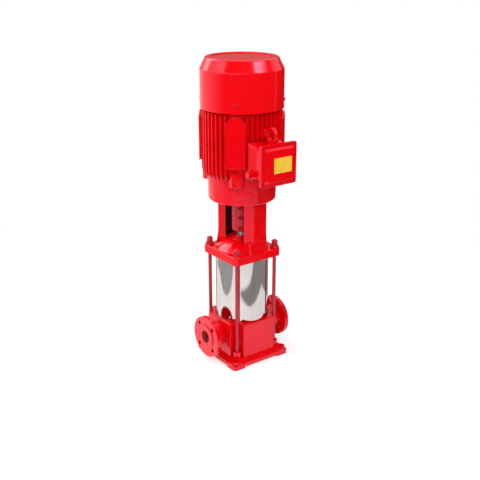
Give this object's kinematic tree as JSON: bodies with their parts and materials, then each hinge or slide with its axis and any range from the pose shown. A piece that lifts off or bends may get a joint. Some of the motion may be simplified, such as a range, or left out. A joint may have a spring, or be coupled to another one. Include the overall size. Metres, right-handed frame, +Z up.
{
  "type": "vertical multistage centrifugal pump",
  "caption": "Vertical in-line multistage centrifugal pump: flanged cast base, stainless sleeve held by tie rods, motor stool with split coupling, and a finned flange motor on top.",
  "frame": {"origin": "on the floor under the shaft axis, at the centre of the base's four bolt holes", "axes": "+Z up along the shaft, -X toward the suction flange, +X toward the discharge flange, -Y toward the terminal box"},
  "size_m": [0.36, 0.3858, 1.186],
  "materials": {
    "red_enamel": "gloss red enamel over cast iron and sheet steel",
    "polished_stainless": "mirror polished stainless tube",
    "zinc_steel": "zinc plated steel",
    "dark_screws": "blackened steel",
    "rubber": "black nitrile rubber",
    "carbon_ring": "lapped carbon",
    "cast_stainless": "bead blasted cast stainless",
    "pressed_stainless": "pressed and welded stainless sheet",
    "bearing_steel": "ground bearing steel",
    "lamination_steel": "stacked electrical sheet",
    "copper_winding": "varnished copper wire",
    "board_plastic": "moulded phenolic",
    "brass": "plain brass",
    "shaft_steel": "turned and ground steel",
    "cast_aluminium": "die cast aluminium",
    "fan_plastic": "black moulded polypropylene",
    "yellow_label": "blank yellow foil label"
  },
  "bodies": {
    "pump_and_motor": {"pump_base": "red_enamel", "drain_plug": "zinc_steel", "outer_sleeve": "polished_stainless", "sleeve_seals": "rubber", "tie_rods": "red_enamel", "tie_rod_nuts": "red_enamel", "motor_stool": "red_enamel", "vent_plug": "zinc_steel", "seal_gland": "red_enamel", "gland_screws": "zinc_steel", "seal_seat": "carbon_ring", "suction_guide": "cast_stainless", "lower_bush": "carbon_ring", "stage_chamber_1": "pressed_stainless", "stage_chamber_2": "pressed_stainless", "stage_chamber_3": "pressed_stainless", "stage_chamber_4": "pressed_stainless", "discharge_cap": "pressed_stainless", "front_bearing_outer": "bearing_steel", "rear_bearing_outer": "bearing_steel", "drive_end_shield": "red_enamel", "shield_bolts": "red_enamel", "flange_bolts": "zinc_steel", "motor_frame": "red_enamel", "stator_core": "lamination_steel", "stator_windings": "copper_winding", "rear_end_shield": "red_enamel", "rear_shield_screws": "zinc_steel", "fan_cowl": "red_enamel", "fan_grille": "red_enamel", "cowl_screws": "dark_screws", "terminal_box": "red_enamel", "neck_gasket": "rubber", "box_screws": "zinc_steel", "lid_gasket": "rubber", "terminal_board": "board_plastic", "terminal_studs": "brass", "entry_plug": "red_enamel", "lifting_eye": "red_enamel"},
    "rotor": {"seal_head": "cast_stainless", "seal_collar": "shaft_steel", "impeller_1": "pressed_stainless", "impeller_2": "pressed_stainless", "impeller_3": "pressed_stainless", "impeller_4": "pressed_stainless", "pump_shaft": "shaft_steel", "coupling_half_front": "red_enamel", "coupling_half_rear": "red_enamel", "coupling_bolts": "dark_screws", "motor_shaft": "shaft_steel", "front_bearing_inner": "bearing_steel", "rear_bearing_inner": "bearing_steel", "rotor_core": "lamination_steel", "rotor_end_rings": "cast_aluminium", "cooling_fan": "fan_plastic"},
    "front_balls": {"front_bearing_balls": "bearing_steel"},
    "rear_balls": {"rear_bearing_balls": "bearing_steel"},
    "lid": {"terminal_box_lid": "red_enamel", "lid_screws": "dark_screws", "lid_label": "yellow_label"}
  },
  "joints": [
    {"name": "rotor_spin", "type": "hinge", "parent": "pump_and_motor", "child": "rotor", "pos_m": [0, 0, 0.6], "axis": [0, 0, 1], "continuous": true},
    {"name": "front_cage_spin", "type": "hinge", "parent": "pump_and_motor", "child": "front_balls", "pos_m": [0, 0, 0.7105], "axis": [0, 0, 1], "continuous": true},
    {"name": "rear_cage_spin", "type": "hinge", "parent": "pump_and_motor", "child": "rear_balls", "pos_m": [0, 0, 1.0245], "axis": [0, 0, 1], "continuous": true},
    {"name": "lid_off", "type": "slide", "parent": "pump_and_motor", "child": "lid", "axis": [0, -1, 0], "range_m": [0, 0.08]}
  ],
  "couplings": [
    {"joint": "front_cage_spin", "follows": "rotor_spin", "ratio": 0.3883},
    {"joint": "rear_cage_spin", "follows": "rotor_spin", "ratio": 0.3883}
  ]
}
